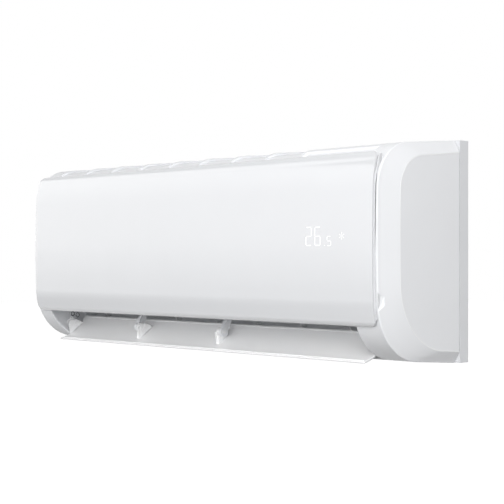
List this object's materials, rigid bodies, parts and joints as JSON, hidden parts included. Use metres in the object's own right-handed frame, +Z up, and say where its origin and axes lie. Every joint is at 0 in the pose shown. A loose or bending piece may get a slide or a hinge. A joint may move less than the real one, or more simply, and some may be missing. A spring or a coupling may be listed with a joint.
{
  "type": "mini split indoor unit",
  "caption": "Wall-hung air conditioner indoor unit with a round-nosed casing, hinged front panel, turning flap, swinging louvres, cross-flow fan and folded heat exchanger.",
  "frame": {"origin": "centre of the wall plate's back face, on the wall", "axes": "+Z up, +Y into the wall, -Y towards the room, +X to the right as seen from the room"},
  "size_m": [0.736, 0.1683, 0.2797],
  "materials": {
    "zinc_steel": "zinc-coated sheet, satin",
    "back_plastic": "fine-grained moulded plastic",
    "casing_plastic": "satin white moulded plastic",
    "panel_plastic": "glossy white panel",
    "flap_plastic": "satin white plate",
    "motor_steel": "plated steel can",
    "duct_plastic": "light grey moulded plastic",
    "fan_plastic": "dark moulded plastic",
    "shaft_steel": "ground steel",
    "bearing_rubber": "rubber bush",
    "fin_aluminium": "thin coated fins",
    "copper": "dull copper tube",
    "union_brass": "machined brass",
    "filter_plastic": "grey frame with fine mesh",
    "box_plastic": "flame-safe white plastic",
    "board_green": "green circuit board",
    "terminal_dark": "dark moulded plastic",
    "display_dark": "dark translucent plastic",
    "button_plastic": "grey push button",
    "louvre_plastic": "white moulded plastic"
  },
  "bodies": {
    "root": {"mounting_plate": "zinc_steel", "rear_chassis": "back_plastic", "front_casing": "casing_plastic", "left_side_cover": "casing_plastic", "right_side_cover": "casing_plastic", "top_grille": "casing_plastic", "support_arms": "casing_plastic", "flap_motor": "motor_steel", "cheek_caps": "casing_plastic", "drain_pan": "duct_plastic", "outlet_duct": "duct_plastic", "fan_bearing": "bearing_rubber", "bearing_holder": "duct_plastic", "fan_motor": "motor_steel", "motor_clamp": "zinc_steel", "coil_rear": "fin_aluminium", "coil_upper": "fin_aluminium", "coil_lower": "fin_aluminium", "end_plate_left": "zinc_steel", "end_plate_right": "zinc_steel", "coil_tubes": "copper", "gas_pipe": "copper", "liquid_pipe": "copper", "pipe_unions": "union_brass", "drain_spout": "duct_plastic", "filter_left": "filter_plastic", "filter_right": "filter_plastic", "control_box": "box_plastic", "box_cover": "zinc_steel", "control_board": "board_green", "terminal_block": "terminal_dark", "display_module": "display_dark", "switch_block": "terminal_dark"},
    "panel": {"front_panel": "panel_plastic"},
    "flap": {"flap": "flap_plastic", "flap_brackets": "flap_plastic"},
    "fan": {"cross_flow_fan": "fan_plastic", "fan_shaft": "shaft_steel"},
    "button": {"auto_button": "button_plastic"},
    "bar_left": {"link_bar_left": "louvre_plastic"},
    "bar_right": {"link_bar_right": "louvre_plastic"},
    "louvre_1": {"louvre_1": "louvre_plastic"},
    "louvre_2": {"louvre_2": "louvre_plastic"},
    "louvre_3": {"louvre_3": "louvre_plastic"},
    "louvre_4": {"louvre_4": "louvre_plastic"},
    "louvre_5": {"louvre_5": "louvre_plastic"},
    "louvre_6": {"louvre_6": "louvre_plastic"},
    "louvre_7": {"louvre_7": "louvre_plastic"}
  },
  "joints": [
    {"name": "panel_hinge", "type": "hinge", "parent": "root", "child": "panel", "pos_m": [0, -0.1525, 0.1115], "axis": [-1, 0, 0], "range_deg": [0, 55]},
    {"name": "flap_turn", "type": "hinge", "parent": "root", "child": "flap", "pos_m": [0, -0.1155, -0.1113], "axis": [1, 0, 0], "range_deg": [-68, 10]},
    {"name": "fan_spin", "type": "hinge", "parent": "root", "child": "fan", "pos_m": [0, -0.07, -0.022], "axis": [1, 0, 0], "continuous": true},
    {"name": "button_press", "type": "slide", "parent": "root", "child": "button", "axis": [0, 1, 0], "range_m": [0, 0.0015], "stiffness_N_per_m": 400, "springref_m": -0.001},
    {"name": "louvre_1_swing", "type": "hinge", "parent": "root", "child": "louvre_1", "pos_m": [-0.296, -0.06098, -0.09796], "axis": [0, -0.7218, 0.6921], "range_deg": [-25, 25]},
    {"name": "louvre_2_swing", "type": "hinge", "parent": "root", "child": "louvre_2", "pos_m": [-0.208, -0.06098, -0.09796], "axis": [0, -0.7218, 0.6921], "range_deg": [-25, 25]},
    {"name": "louvre_3_swing", "type": "hinge", "parent": "root", "child": "louvre_3", "pos_m": [-0.12, -0.06098, -0.09796], "axis": [0, -0.7218, 0.6921], "range_deg": [-25, 25]},
    {"name": "bar_left_slide", "type": "slide", "parent": "root", "child": "bar_left", "axis": [1, 0, 0], "range_m": [-0.0052, 0.0052]},
    {"name": "louvre_4_swing", "type": "hinge", "parent": "root", "child": "louvre_4", "pos_m": [-0.032, -0.06098, -0.09796], "axis": [0, -0.7218, 0.6921], "range_deg": [-25, 25]},
    {"name": "louvre_5_swing", "type": "hinge", "parent": "root", "child": "louvre_5", "pos_m": [0.056, -0.06098, -0.09796], "axis": [0, -0.7218, 0.6921], "range_deg": [-25, 25]},
    {"name": "louvre_6_swing", "type": "hinge", "parent": "root", "child": "louvre_6", "pos_m": [0.144, -0.06098, -0.09796], "axis": [0, -0.7218, 0.6921], "range_deg": [-25, 25]},
    {"name": "louvre_7_swing", "type": "hinge", "parent": "root", "child": "louvre_7", "pos_m": [0.232, -0.06098, -0.09796], "axis": [0, -0.7218, 0.6921], "range_deg": [-25, 25]},
    {"name": "bar_right_slide", "type": "slide", "parent": "root", "child": "bar_right", "axis": [1, 0, 0], "range_m": [-0.0052, 0.0052]}
  ],
  "couplings": [
    {"joint": "louvre_2_swing", "follows": "louvre_1_swing", "ratio": 1},
    {"joint": "louvre_3_swing", "follows": "louvre_1_swing", "ratio": 1},
    {"joint": "bar_left_slide", "follows": "louvre_1_swing", "m_per_rad": -0.011623},
    {"joint": "louvre_5_swing", "follows": "louvre_4_swing", "ratio": 1},
    {"joint": "louvre_6_swing", "follows": "louvre_4_swing", "ratio": 1},
    {"joint": "louvre_7_swing", "follows": "louvre_4_swing", "ratio": 1},
    {"joint": "bar_right_slide", "follows": "louvre_4_swing", "m_per_rad": -0.011623}
  ]
}
